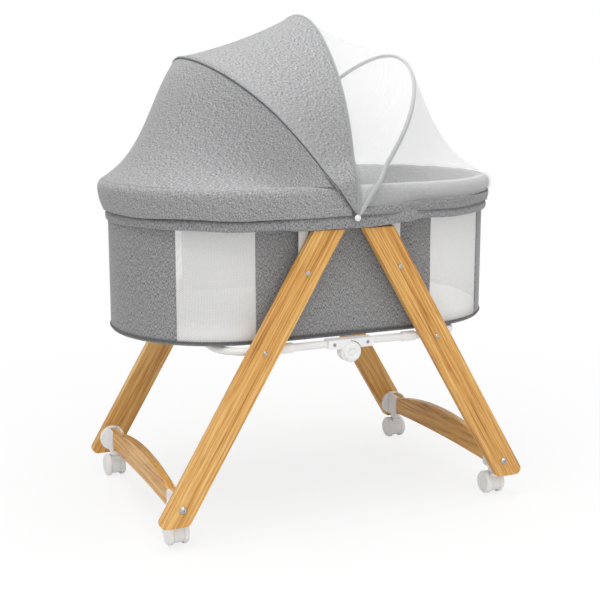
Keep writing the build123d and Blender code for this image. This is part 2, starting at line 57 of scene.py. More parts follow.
class Tone:  # a shader socket; arithmetic on it adds Math nodes
    def __init__(self, tree, socket=None):
        self.tree, self.socket = tree, socket

    def node(self, kind, settings=None, inputs=None, output=0):
        made = self.tree.nodes.new(kind)
        for name, value in (settings or {}).items():
            if name == "stops":  # places and colours along a ramp
                points = made.color_ramp.elements
                while len(points) < len(value):
                    points.new(0.5)
                for point, (place, colour) in zip(points, value):
                    point.position, point.color = place, (*colour, 1)
            else:
                setattr(made, name, value)
        for name, value in (inputs or {}).items():
            if isinstance(value, Tone):
                self.tree.links.new(value.socket, made.inputs[name])
            else:
                made.inputs[name].default_value = value
        return Tone(self.tree, made.outputs[output])

    def maths(self, operation, first, second=0.0):
        return self.node("ShaderNodeMath", {"operation": operation}, {0: first, 1: second})

    def __add__(self, other):
        return self.maths("ADD", self, other)

    def __radd__(self, other):
        return self.maths("ADD", other, self)

    def __sub__(self, other):
        return self.maths("SUBTRACT", self, other)

    def __rsub__(self, other):  # so that 1 - mask works
        return self.maths("SUBTRACT", other, self)

    def __mul__(self, other):
        return self.maths("MULTIPLY", self, other)

    def __rmul__(self, other):
        return self.maths("MULTIPLY", other, self)

    def __gt__(self, other):
        return self.maths("GREATER_THAN", self, other)

    def __lt__(self, other):
        return self.maths("LESS_THAN", self, other)

    def wave(self, period):  # smooth 0 to 1 ripple
        return 0.5 + 0.5 * self.maths("SINE", self * (2 * pi / period))

    def feed(self, shader, name):
        self.tree.links.new(self.socket, shader.inputs[name])


def srgb(red, green, blue):  # screen colour, 0 to 255, as the shader's linear one
    tones = np.array([red, green, blue]) / 255
    return tuple(np.where(tones < 0.04045, tones / 12.92, ((tones + 0.055) / 1.055) ** 2.4).tolist())


def newMaterial(name, fixed):
    # a principled material with its plain sockets set
    material = bpy.data.materials.new(name)
    material.use_nodes = True
    shader = material.node_tree.nodes["Principled BSDF"]
    for socket, value in fixed.items():
        shader.inputs[socket].default_value = value
    return material, shader, Tone(material.node_tree)


def speckle(tone, place, scale, detail=2.0, stretch=(1, 1, 1), roughness=0.5):
    # noise over a place that is stretched first
    spread = tone.node("ShaderNodeMapping", {}, {"Vector": place, "Scale": stretch})
    return tone.node("ShaderNodeTexNoise", {}, {
        "Vector": spread, "Scale": scale, "Detail": detail, "Roughness": roughness})


def ramp(tone, share, *stops):
    # colour by share, between (place, colour) stops
    return tone.node("ShaderNodeValToRGB", {"stops": stops}, {"Fac": share})


def bump(tone, shader, height, strength, distance):
    # relief from a height between 0 and 1; its distance is in metres
    tone.node("ShaderNodeBump", {}, {
        "Strength": strength, "Distance": distance, "Height": height}).feed(shader, "Normal")


def heatherCloth(name, dark, light, grain, turn=0.0):
    # melange weave on UV in metres: fine slubs along both threads, turned with the cut, over a plain weave's relief
    material, shader, tone = newMaterial(name, {"Sheen Weight": 0.2, "Sheen Roughness": 0.5})
    flat = tone.node("ShaderNodeTexCoord", output="UV")
    place = tone.node("ShaderNodeMapping", {}, {"Vector": flat, "Rotation": (0, 0, turn)})
    warp = speckle(tone, place, grain, 2, (1, 0.22, 1))
    weft = speckle(tone, place, grain * 1.1, 2, (0.2, 1, 1))
    mottle = speckle(tone, place, grain / 9, 2)
    blend = warp * 0.68 + weft * 0.24 + mottle * 0.08
    ramp(tone, blend, (0.37, dark), (0.63, light)).feed(shader, "Base Color")
    (0.82 + 0.12 * blend).feed(shader, "Roughness")
    along = tone.node("ShaderNodeSeparateXYZ", {}, {"Vector": place})
    across = tone.node("ShaderNodeSeparateXYZ", {}, {"Vector": place}, output="Y")
    bump(tone, shader, along.wave(0.0011) * across.wave(0.0011), 0.2, 0.0004)
    return material


def bindingTape(name, dark, light):
    # ribbed tape: fine ribs across the run
    material, shader, tone = newMaterial(name, {"Sheen Weight": 0.2})
    place = tone.node("ShaderNodeTexCoord", output="UV")
    along = tone.node("ShaderNodeSeparateXYZ", {}, {"Vector": place})
    fleck = speckle(tone, place, 700, 2, (1, 0.4, 1))
    rib = along.wave(0.0016)
    mixed = fleck * 0.7 + rib * 0.3
    ramp(tone, mixed, (0.25, dark), (0.75, light)).feed(shader, "Base Color")
    (0.75 + 0.15 * fleck).feed(shader, "Roughness")
    bump(tone, shader, rib, 0.3, 0.0004)
    return material


def netting(name, colour, cell, thread, thin, thick):
    # diamond mesh on UV in metres: two crossing sets of threads over a sheer ground
    material, shader, tone = newMaterial(name, {"Roughness": 0.8, "Sheen Weight": 0.15})
    place = tone.node("ShaderNodeTexCoord", output="UV")
    along = tone.node("ShaderNodeSeparateXYZ", {}, {"Vector": place})
    across = tone.node("ShaderNodeSeparateXYZ", {}, {"Vector": place}, output="Y")
    rising = (along * 0.6 + across).wave(cell)
    falling = (along * 0.6 - across).wave(cell)
    threads = tone.maths("MAXIMUM", rising, falling) > 1 - thread
    (thin + (thick - thin) * threads).feed(shader, "Alpha")
    fleck = speckle(tone, place, 300, 2)
    pale = tuple(0.93 * part for part in colour)
    ramp(tone, fleck, (0.3, pale), (0.7, colour)).feed(shader, "Base Color")
    return material


def oakWood(name, turn):
    # straight oak: broad bands, fine lines and pores under a satin coat, with the grain turned along the plank
    material, shader, tone = newMaterial(name, {"Coat Roughness": 0.25, "Coat Weight": 0.2})
    local = tone.node("ShaderNodeTexCoord", output="Object")
    place = tone.node("ShaderNodeMapping", {}, {"Vector": local, "Rotation": turn})
    sway = speckle(tone, place, 9, 2, (1, 1, 0.25))
    band = speckle(tone, place, 60, 3, (1, 0.35, 0.04), 0.6)
    line = speckle(tone, place, 330, 3, (1, 0.4, 0.018), 0.65)
    pore = speckle(tone, place, 640, 2, (1, 0.5, 0.03))
    grain = band * 0.27 + line * 0.63 + sway * 0.1
    wood = ramp(tone, grain, (0.36, srgb(156, 96, 34)), (0.44, srgb(204, 144, 64)),
                (0.53, srgb(226, 172, 92)), (0.64, srgb(242, 200, 128)))
    pores = ramp(tone, pore, (0.56, (0, 0, 0)), (0.68, (1, 1, 1)))
    tone.node("ShaderNodeMix", {"data_type": "RGBA", "blend_type": "MULTIPLY"}, {
        "Factor": pores * 0.4, 6: wood, 7: (0.42, 0.25, 0.11, 1)}, output=2).feed(shader, "Base Color")
    (0.4 + 0.16 * grain).feed(shader, "Roughness")
    bump(tone, shader, grain - pores * 0.4, 0.15, 0.0006)
    return material


def coated(name, colour, roughness, grain, depth):
    # paint or moulded plastic: a fine skin texture and a slightly uneven gloss
    material, shader, tone = newMaterial(name, {"Specular IOR Level": 0.45})
    place = tone.node("ShaderNodeTexCoord", output="Object")
    skin = speckle(tone, place, grain, 3)
    cloud = speckle(tone, place, 18, 2)
    shade = tuple(0.95 * part for part in colour)
    ramp(tone, cloud, (0.3, shade), (0.7, colour)).feed(shader, "Base Color")
    (roughness - 0.06 + 0.12 * cloud).feed(shader, "Roughness")
    bump(tone, shader, skin, 0.15, depth)
    return material


def platedSteel(name, colour, roughness):
    # brushed metal: fine streaks in shade, gloss and relief
    material, shader, tone = newMaterial(name, {"Metallic": 1.0})
    place = tone.node("ShaderNodeTexCoord", output="Object")
    brushed = speckle(tone, place, 900, 3, (1, 0.15, 1))
    shade = tuple(0.8 * part for part in colour)
    ramp(tone, brushed, (0.3, shade), (0.7, colour)).feed(shader, "Base Color")
    (roughness + 0.15 * brushed).feed(shader, "Roughness")
    bump(tone, shader, brushed, 0.08, 0.0003)
    return material


def fibreBoard(name, colour):
    # pressed board: chips in shade and relief
    material, shader, tone = newMaterial(name, {"Roughness": 0.85})
    place = tone.node("ShaderNodeTexCoord", output="Object")
    chips = speckle(tone, place, 260, 4)
    shade = tuple(0.7 * part for part in colour)
    ramp(tone, chips, (0.3, shade), (0.7, colour)).feed(shader, "Base Color")
    bump(tone, shader, chips, 0.2, 0.0005)
    return material


legLean = 0.5328  # the legs' lean from upright, radians
finishes = {
    "hoodCloth": heatherCloth("heatherHoodCloth", srgb(84, 84, 85), srgb(194, 194, 195), 1020, 0.7),
    "wallCloth": heatherCloth("heatherWallCloth", srgb(72, 72, 73), srgb(182, 182, 183), 960),
    "piping": heatherCloth("darkPiping", srgb(62, 63, 65), srgb(108, 109, 111), 700),
    "binding": bindingTape("greyBinding", srgb(138, 139, 140), srgb(178, 179, 180)),
    "netTape": bindingTape("netTape", srgb(160, 161, 162), srgb(198, 199, 200)),
    "insectNet": netting("insectNet", srgb(252, 252, 253), 0.0018, 0.14, 0.18, 0.5),
    "windowMesh": netting("windowMesh", srgb(254, 254, 253), 0.0036, 0.4, 0.16, 0.88),
    "lining": heatherCloth("baseLining", srgb(92, 93, 94), srgb(150, 151, 152), 500),
    "paleLining": heatherCloth("paleLining", srgb(228, 228, 228), srgb(248, 248, 247), 600),
    "cotton": heatherCloth("mattressCotton", srgb(236, 236, 235), srgb(250, 250, 249), 700),
    "oakLeft": oakWood("oakLeftLegs", (0, -legLean, 0)),
    "oakRight": oakWood("oakRightLegs", (0, legLean, 0)),
    "oakAcross": oakWood("oakStretchers", (pi / 2, 0, 0)),
    "whiteSteel": coated("whitePowderCoat", srgb(240, 240, 239), 0.4, 900, 0.0004),
    "whitePlastic": coated("whiteMoulding", srgb(243, 243, 242), 0.45, 1400, 0.0003),
    "wheel": coated("whiteWheel", srgb(250, 250, 249), 0.5, 1100, 0.0004),
    "zinc": platedSteel("zincPlate", (0.5, 0.51, 0.53), 0.3),
    "spring": platedSteel("springSteel", (0.34, 0.34, 0.35), 0.4),
    "board": fibreBoard("baseFibreBoard", srgb(190, 165, 135)),
}
print(len(finishes), "finishes made")


def nodeFinish(name):
    # which finish a rigid node takes
    if name.startswith("stretcher"):
        return "oakAcross"
    if name.startswith("leg_front") or name.startswith("leg_rear"):
        return "oakLeft" if name.endswith("left") else "oakRight"
    for words, finish in (
            (("rail_left", "rail_right", "leg_hangers", "rim_tube"), "whiteSteel"),
            (("caster_wheels",), "wheel"),
            (("leg_pivot_bolts", "foot_bolts", "rail_screws"), "zinc"),
            (("hub_screws", "_bow"), "spring"),
            (("base_board",), "board")):
        if any(word in name for word in words):
            return finish
    return "whitePlastic"


for name, node in cadNodes.items():
    node.data.materials.clear()
    node.data.materials.append(finishes[nodeFinish(name)])


def gridPiece(name, points, finish, closedRows=False, closedCols=False, flip=False, weld=False):
    # a grid of points as a quad mesh; its UV runs in metres along its own rows and columns
    rows, cols = points.shape[:2]
    row, col = np.meshgrid(np.arange(rows - (not closedRows)), np.arange(cols - (not closedCols)), indexing="ij")
    corners = [(row, col), (row + 1, col), (row + 1, col + 1), (row, col + 1)]
    if flip:
        corners.reverse()
    faces = np.stack([a % rows * cols + b % cols for a, b in corners], -1).reshape(-1, 4)
    wrapped = np.concatenate([points, points[:1]])
    wrapped = np.concatenate([wrapped, wrapped[:, :1]], axis=1)
    along, across = np.zeros(wrapped.shape[:2]), np.zeros(wrapped.shape[:2])
    along[1:] = np.cumsum(np.linalg.norm(np.diff(wrapped, axis=0), axis=2), axis=0)
    across[:, 1:] = np.cumsum(np.linalg.norm(np.diff(wrapped, axis=1), axis=2), axis=1)
    along, across = along - along[rows // 2], across - across[:, cols // 2, None]
    uv = np.stack([np.stack([along[a, b], across[a, b]], -1) for a, b in corners], 2).reshape(-1, 2)
    mesh = bpy.data.meshes.new(name)
    mesh.from_pydata(points.reshape(-1, 3).tolist(), [], faces.tolist())
    layer = mesh.uv_layers.new(name="UVMap")
    layer.data.foreach_set("uv", uv.astype(np.float32).ravel())
    if weld:
        shell = bmesh.new()
        shell.from_mesh(mesh)
        bmesh.ops.remove_doubles(shell, verts=shell.verts, dist=1e-5)
        bmesh.ops.dissolve_degenerate(shell, edges=shell.edges, dist=1e-6)
        shell.to_mesh(mesh)
        shell.free()
    mesh.polygons.foreach_set("use_smooth", [True] * len(mesh.polygons))
    piece = bpy.data.objects.new(name, mesh)
    bpy.context.scene.collection.objects.link(piece)
    mesh.materials.append(finishes[finish])
    return piece


def thicken(piece, thick):
    # gives a cloth its wall, half on each side of the surface
    wall = piece.modifiers.new("thickness", "SOLIDIFY")
    wall.thickness, wall.offset = thick, 0.0
    return piece


def settle(piece, body, slot, *stoodFor):
    # the piece moves with a body and stands in for its nodes
    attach(piece, body)
    return stand(piece, slot, *stoodFor)


def stand(piece, slot, *stoodFor):
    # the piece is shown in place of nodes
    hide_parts(*stoodFor)
    return piece


def cutCloth(piece, points, held, *restsOn):
    # takes the diagonals of the grid's cells; nothing further is done with them
    diagonals = points[1:, 1:] - points[:-1, :-1], points[1:, :-1] - points[:-1, 1:]


def smooth(value, low, high):  # eased step from 0 to 1
    share = np.clip((value - low) / (high - low), 0, 1)
    return share * share * (3 - 2 * share)


def ripple(place, *waves):  # sum of sines: (length, height, shift)
    return sum(height * np.sin(2 * pi * place / length + shift) for length, height, shift in waves)


def ringPath(straight, reach, count, start=0.0, closed=True):
    # even walk round a stadium, +X first, from x = start on the front side; back to it on the rear if open
    run, turn = straight - start, pi * reach
    if closed:
        marks = np.cumsum([0, run, turn, 2 * straight, turn, straight + start])
        spine = [start, straight, straight, -straight, -straight, start]
        angle = [-pi / 2, -pi / 2, pi / 2, pi / 2, 1.5 * pi, 1.5 * pi]
    else:
        marks = np.cumsum([0, run, turn, run])
        spine = [start, straight, straight, start]
        angle = [-pi / 2, -pi / 2, pi / 2, pi / 2]
    walk = np.linspace(0, marks[-1], count, endpoint=not closed)
    turned = np.interp(walk, marks, angle)
    return np.interp(walk, marks, spine), np.cos(turned), np.sin(turned), walk


def ringSurface(path, distance, height):
    # profile (distance from the spine, height) carried along a ring path
    spine, outX, outY, walk = path
    distance, height = np.broadcast_arrays(distance, height)
    grid = np.broadcast_to(distance, (len(spine), distance.shape[-1]))
    return np.stack([spine[:, None] + outX[:, None] * grid, outY[:, None] * grid,
                     np.broadcast_to(height, grid.shape)], -1)


def flipX(points):  # mirrored from the right end to the left
    return points * np.array([-1, 1, 1])


def profile(knots, count):
    # smooth curve through (distance, height) knots, at even steps of its chord length
    knots = np.array(knots)
    marks = np.append(0, np.cumsum(np.linalg.norm(np.diff(knots, axis=0), axis=1)))
    walk = np.linspace(0, marks[-1], count)
    slopes = np.gradient(knots, marks, axis=0)
    left = np.clip(np.searchsorted(marks, walk, side="right") - 1, 0, len(knots) - 2)
    span = (marks[left + 1] - marks[left])[:, None]
    part = ((walk - marks[left]) / span[:, 0])[:, None]
    ends = knots[left] * (1 - 3 * part**2 + 2 * part**3) + knots[left + 1] * (3 * part**2 - 2 * part**3)
    lean = slopes[left] * (part - 2 * part**2 + part**3) + slopes[left + 1] * (part**3 - part**2)
    return (ends + span * lean).T


# basket plan in metres, as in the frame: the wall's straight half length and half width; window edges in degrees
basket = {"straight": 0.196, "wall": 0.228, "wallLow": 0.4035, "wallTop": 0.644, "windowFrom": 0.5, "windowTo": 41.0,
          "windowGap": 0.0006, "liningGap": 0.0021, "creaseAt": 0.018, "creaseDeep": 0.0007, "creaseWide": 0.004}
rim = {"straight": 0.176, "reach": 0.24, "low": 0.642, "top": 0.708, "inner": 0.224, "outer": 0.251,
       "fuller": 0.0108, "fullFrom": 0.122}
skirt = {"straight": 0.163, "start": 0.012, "reach": 0.275, "creaseDeep": 0.0022, "creaseRun": 0.07,
         "creaseLevel": 0.62, "creaseRise": 0.16, "creaseTurn": 0.12, "creaseWide": 0.035}
clothThick = {"wall": 0.0016, "valance": 0.0014, "hood": 0.0014, "skirt": 0.0012}


def wallStrip(fromDeg, toDeg, count, distance):
    # strip of the end wall between two angles round the end
    angle = np.radians(np.linspace(fromDeg, toDeg, count) - 90)
    path = (np.full(count, basket["straight"]), np.cos(angle), np.sin(angle), angle)
    return ringSurface(path, distance, np.linspace(basket["wallLow"], basket["wallTop"], 40))


def centreWall(count):
    # the long front panel, with its short turns into the ends, a soft crease at the middle and faint pulls
    turn = radians(basket["windowFrom"])
    edge = basket["straight"] + basket["wall"] * sin(turn)
    x = np.linspace(-edge, edge, count)
    past = np.clip((np.abs(x) - basket["straight"]) / basket["wall"], 0, 1)
    height = np.linspace(basket["wallLow"], basket["wallTop"], 40)[None, :]
    level = (height - basket["wallLow"]) / (basket["wallTop"] - basket["wallLow"])
    crease = -basket["creaseDeep"] * np.exp(-((x[:, None] - basket["creaseAt"]) / basket["creaseWide"]) ** 2)
    pulls = ripple(x[:, None] + 0.15 * level, (0.21, 0.0006, 0.4), (0.13, 0.0004, 2.0)) * np.sin(pi * level)
    depth = basket["wall"] * np.sqrt(1 - past[:, None] ** 2) + crease + pulls
    return np.stack(np.broadcast_arrays(x[:, None], -depth, height), -1)


front = centreWall(160)
panel = thicken(gridPiece("centrePanelFront", front, "wallCloth"), clothThick["wall"])
settle(panel, "basket", "grey_cloth", "centre_panel_front")
cutCloth(panel, front, "stretched", "rim_tube")
panel = thicken(gridPiece("centrePanelRear", front * np.array([-1, -1, 1]), "wallCloth"), clothThick["wall"])
settle(panel, "basket", "grey_cloth", "centre_panel_rear")
cutCloth(panel, front, "stretched", "rim_tube")

endWall = wallStrip(basket["windowTo"], 180 - basket["windowTo"], 70, basket["wall"])
for word, points, flip in (("Right", endWall, False), ("Left", flipX(endWall), True)):
    panel = thicken(gridPiece("endPanel" + word, points, "wallCloth", flip=flip), clothThick["wall"])
    settle(panel, "basket", "grey_cloth", "end_panel_" + word.lower())
    cutCloth(panel, points, "stretched", "rim_tube")

# pale lining sewn inside the four panels
inside = basket["wall"] - basket["liningGap"]
longSide = centreWall(90) * np.array([1, inside / basket["wall"], 1])
roundEnd = wallStrip(basket["windowTo"], 180 - basket["windowTo"], 50, inside)
for word, points, flip in (("Front", longSide, True), ("Rear", longSide * np.array([-1, -1, 1]), True),
                           ("Right", roundEnd, True), ("Left", flipX(roundEnd), False)):
    panel = gridPiece("lining" + word, points, "paleLining", flip=flip)
    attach(panel, "basket")
    cutCloth(panel, points, "stretched", "rim_tube")

window = wallStrip(basket["windowFrom"], basket["windowTo"], 30, basket["wall"] - basket["windowGap"])
for endWord, turnY in (("Front", 1), ("Rear", -1)):
    for word, turnX in (("Right", 1), ("Left", -1)):
        points = window * np.array([turnX, turnY, 1])
        panel = gridPiece("window" + endWord + word, points, "windowMesh", flip=turnX * turnY < 0)
        settle(panel, "basket", "white_mesh", f"window_{endWord.lower()}_{word.lower()}")
        cutCloth(panel, points, "stretched", "rim_tube")
print("walls and windows sewn")

# floor of the basket: piping round the hem, the lined tray and the mattress
piping = {"distance": 0.229, "height": 0.402, "radius": 0.0021}
round16 = np.linspace(0, 2 * pi, 16, endpoint=False)
wallPath = ringPath(basket["straight"], basket["wall"], 360)
points = ringSurface(wallPath, piping["distance"] + piping["radius"] * np.cos(round16),
                     piping["height"] + piping["radius"] * np.sin(round16))
cordPiece = gridPiece("hemPiping", points, "piping", True, True)
settle(cordPiece, "basket", "grey_binding", "hem_piping")

tray = {"bottom": 0.3948, "round": 0.0045, "wall": 0.2286, "top": 0.4, "thick": 0.0018,
        "steps": (0.0, 0.06, 0.12, 0.18)}
quarter = np.linspace(0, pi / 2, 7)
outline = np.concatenate([
    [[step, tray["bottom"]] for step in tray["steps"]],
    np.stack([tray["wall"] - tray["round"] * (1 - np.sin(quarter)),
              tray["bottom"] + tray["round"] * (1 - np.cos(quarter))], -1),
    [[tray["wall"], tray["top"]], [tray["wall"] - tray["thick"], tray["top"]],
     [tray["wall"] - tray["thick"], tray["bottom"] + tray["thick"]],
     [0.12, tray["bottom"] + tray["thick"]], [0.0, tray["bottom"] + tray["thick"]]]])
points = ringSurface(wallPath, outline[:, 0], outline[:, 1])
panel = gridPiece("baseTray", points, "lining", closedRows=True, weld=True)
settle(panel, "basket", "base_cloth", "base_tray")

mattress = {"bottom": 0.4008, "half": 0.2235, "side": 0.020, "crown": 0.0285, "round": 0.005, "voxel": 0.005,
            "pressure": 4.0, "cap": 0.004, "frames": 20}


def mattressShell():
    # crowned top, drawn-in sides and a flat underside, carried round the basket's plan
    knots = [(0, mattress["crown"]), (0.11, mattress["crown"] - 0.0008), (0.19, mattress["crown"] - 0.0028),
             (mattress["half"] - 0.007, mattress["side"] + 0.0035), (mattress["half"] - 0.0012, mattress["side"]),
             (mattress["half"] - 0.0030, mattress["side"] / 2), (mattress["half"] - 0.0012, mattress["round"]),
             (mattress["half"] - 0.006, 0.0003), (0.15, 0.0), (0, 0.0)]
    distance, height = profile(knots, 72)
    height = np.maximum(height, 0) + mattress["bottom"]
    path = ringPath(basket["straight"], basket["wall"], 300)
    return ringSurface(path, np.maximum(distance, 0), height)


def swell(piece, voxel, pressure, cap, frames):
    # pressure on a remeshed copy puffs the cover; no point moves further than the cap
    remesh = piece.modifiers.new("even", "REMESH")
    remesh.mode, remesh.voxel_size, remesh.use_smooth_shade = "VOXEL", voxel, True
    bake(piece)
    rest = readPoints(piece)
    cloth = piece.modifiers.new("swell", "CLOTH")
    cloth.settings.use_pressure, cloth.settings.uniform_pressure_force = True, pressure
    cloth.settings.effector_weights.gravity = 0
    cloth.point_cache.frame_start, cloth.point_cache.frame_end = 1, frames
    for step in range(1, frames + 1):
        bpy.context.scene.frame_set(step)
    bake(piece)
    bpy.context.scene.frame_set(1)
    move = readPoints(piece) - rest
    length = np.linalg.norm(move, axis=1, keepdims=True)
    return rest, move * np.minimum(1, cap / np.maximum(length, 1e-9))


def bake(piece):
    # the modifiers' result becomes the mesh
    evaluated = piece.evaluated_get(bpy.context.evaluated_depsgraph_get())
    mesh = bpy.data.meshes.new_from_object(evaluated)
    piece.modifiers.clear()
    old, piece.data = piece.data, mesh
    bpy.data.meshes.remove(old)


def readPoints(piece):
    points = np.empty(len(piece.data.vertices) * 3, np.float32)
    piece.data.vertices.foreach_get("co", points)
    return points.reshape(-1, 3).astype(float)


def writePoints(piece, points):
    piece.data.vertices.foreach_set("co", points.astype(np.float32).ravel())
    piece.data.update()


pad = gridPiece("mattressPad", mattressShell(), "cotton", closedRows=True, weld=True)
rest, move = swell(pad, mattress["voxel"], mattress["pressure"], mattress["cap"], mattress["frames"])
moved = rest + move
moved[:, 2] = np.maximum(moved[:, 2], mattress["bottom"])  # it rests on the board
writePoints(pad, moved)
settle(pad, "basket", "white_cotton", "mattress")
print("tray, piping and mattress laid")

# padded rim, its valance and the gathered skirts
rimPath = ringPath(rim["straight"], rim["reach"], 420)
middle, half = (rim["inner"] + rim["outer"]) / 2, (rim["outer"] - rim["inner"]) / 2
centreZ, halfZ = (rim["low"] + rim["top"]) / 2, (rim["top"] - rim["low"]) / 2
ring = np.linspace(0, 2 * pi, 40, endpoint=False)
wideShare = np.sign(np.cos(ring)) * np.abs(np.cos(ring)) ** 0.6  # superellipse section
highShare = np.sign(np.sin(ring)) * np.abs(np.sin(ring)) ** 0.6
pucker = ripple(rimPath[3][:, None], (0.047, 0.0003, 0.3), (0.031, 0.0002, 1.7), (0.083, 0.0004, 2.2))
fuller = rim["fuller"] * smooth(rimPath[0], rim["fullFrom"], rim["straight"])[:, None]  # plumper under the net
outward = fuller * smooth(wideShare, -0.2, 1.0) * smooth(highShare, -0.35, 0.45)
points = ringSurface(rimPath, middle + (half - 0.0005 + pucker * 0.4) * wideShare + outward,
                     centreZ + (halfZ - 0.001 + pucker) * highShare)
piece = gridPiece("rimPadding", points, "hoodCloth", True, True, flip=True)
settle(piece, "basket", "grey_cloth", "rim_padding")

# profiles of the hanging bands, (distance from the spine, height), along the sides and round the ends;
# "from" is the x where the one starts to ease into the other
valance = {
    "side": [(0.2515, 0.6655), (0.2640, 0.6655), (0.2702, 0.6646), (0.2719, 0.6600), (0.2719, 0.6530), (0.2720, 0.6482),
             (0.2733, 0.6455), (0.2748, 0.6415), (0.2752, 0.6350), (0.2746, 0.6262), (0.2730, 0.6242)],
    "end": [(0.2515, 0.6655), (0.2560, 0.6655), (0.2590, 0.6640), (0.2596, 0.6590), (0.2598, 0.6530), (0.2606, 0.6485),
            (0.2634, 0.6452), (0.2652, 0.6410), (0.2654, 0.6350), (0.2645, 0.6290), (0.2630, 0.6280)],
    "from": 0.122, "reach": 0.27, "roll": 0.0010, "netLift": 0.008}
hoodSkirt = {
    "side": [(0.2600, 0.7092), (0.2645, 0.7104), (0.2680, 0.7104), (0.2724, 0.7086), (0.2760, 0.7046), (0.2784, 0.6985),
             (0.2793, 0.6900), (0.2795, 0.6780), (0.2792, 0.6660), (0.2785, 0.6570), (0.2778, 0.6515), (0.2768, 0.6498),
             (0.2758, 0.6518)],
    "end": [(0.2600, 0.7092), (0.2650, 0.7104), (0.2690, 0.7104), (0.2735, 0.7086), (0.2772, 0.7046), (0.2797, 0.6985),
            (0.2803, 0.6900), (0.2790, 0.6780), (0.2762, 0.6660), (0.2728, 0.6570), (0.2704, 0.6515), (0.2688, 0.6498),
            (0.2676, 0.6518)],
    "from": 0.122}
netSkirt = {
    "side": [(0.2776, 0.6660), (0.2792, 0.6650), (0.2810, 0.6620), (0.2816, 0.6580), (0.2810, 0.6540), (0.2796, 0.6514),
             (0.2780, 0.6504), (0.2768, 0.6520)],
    "end": [(0.2696, 0.6745), (0.2704, 0.6732), (0.2706, 0.6690), (0.2698, 0.6640), (0.2684, 0.6590), (0.2670, 0.6548),
            (0.2656, 0.6538), (0.2648, 0.6554)],
    "from": 0.03}
netRim = {
    "side": [(0.2560, 0.7094), (0.2620, 0.7102), (0.2675, 0.7092), (0.2718, 0.7060), (0.2746, 0.6995), (0.2758, 0.6890),
             (0.2764, 0.6790), (0.2768, 0.6668)],
    "end": [(0.2530, 0.7094), (0.2610, 0.7102), (0.2680, 0.7085), (0.2728, 0.7040), (0.2755, 0.6975), (0.2760, 0.6900),
            (0.2745, 0.6820), (0.2700, 0.6752)],
    "from": 0.03}


def hangingBand(path, band, count):
    # the side profile eases into the end profile before the ring turns; drop runs from 0 at the top to 1 at the hem
    share = smooth(np.abs(path[0]), band["from"], skirt["straight"])[:, None]
    (sideD, sideZ), (endD, endZ) = profile(band["side"], count), profile(band["end"], count)
    distance, height = sideD + (endD - sideD) * share, sideZ + (endZ - sideZ) * share
    drop = np.clip((sideZ.max() - sideZ) / (sideZ.max() - sideZ.min()), 0, 1)
    return distance, height, drop[None, :], path[3][:, None]


valancePath = ringPath(skirt["straight"], valance["reach"], 520)
distance, height, drop, walk = hangingBand(valancePath, valance, 30)
wavy = ripple(walk, (0.26, valance["roll"], 0.5), (0.11, valance["roll"] / 2, 1.1)) * drop**2
sway = ripple(walk, (0.37, 0.0012, 0.2), (0.17, 0.0006, 2.4)) * drop
netward = smooth(valancePath[0], 0.0, skirt["straight"])[:, None]
points = ringSurface(valancePath, distance + wavy * 0.5, height + sway + valance["netLift"] * netward * drop)
piece = thicken(gridPiece("rimValance", points, "wallCloth", True, False, flip=True), clothThick["valance"])
settle(piece, "basket", "grey_cloth", "rim_valance")
cutCloth(piece, points, "hung", "rim_padding")

skirtPath = ringPath(skirt["straight"], skirt["reach"], 420, start=skirt["start"], closed=False)


def gatheredBand(band, gather, creases):
    # bulging band, gathered by elastic at its hem, with a few lying creases that run out from the pivot
    distance, height, drop, walk = hangingBand(skirtPath, band, 56)
    pleats = ripple(walk, (0.019, 0.0004, 0.2), (0.029, 0.0005, 1.4), (0.067, 0.0006, 0.7)) * drop**2 * gather
    roll = ripple(walk + 0.02 * drop, (0.33, 0.0013, 0.9), (0.19, 0.0009, 2.1)) * drop
    fromEnd = np.minimum(walk, walk.max() - walk)
    ends = np.exp(-fromEnd / skirt["creaseRun"])
    level = skirt["creaseLevel"] + skirt["creaseRise"] * np.tanh(fromEnd / skirt["creaseTurn"])
    pull = -creases * ends * np.exp(-((drop - level) / skirt["creaseWide"]) ** 2)
    return ringSurface(skirtPath, distance + pleats + pull, height + roll)


points = flipX(gatheredBand(hoodSkirt, 1.0, skirt["creaseDeep"]))
piece = thicken(gridPiece("hoodSkirt", points, "hoodCloth"), clothThick["skirt"])
settle(piece, "basket", "grey_cloth", "hood_skirt")
cutCloth(piece, points, "gathered", "rim_padding")
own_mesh(piece)  # the skirt gets its own copy of its mesh
netBand = gatheredBand(netRim, 0.5, 0.0)
netRimBand = gridPiece("netRimBand", netBand, "insectNet", flip=True)
cutCloth(netRimBand, netBand, "stretched", "rim_padding")
hemPoints = gatheredBand(netSkirt, 1.0, 0.0)
netHem = thicken(gridPiece("netHem", hemPoints, "wallCloth", flip=True), clothThick["skirt"])
cutCloth(netHem, hemPoints, "gathered", "rim_padding")
print("rim, valance and skirts sewn")

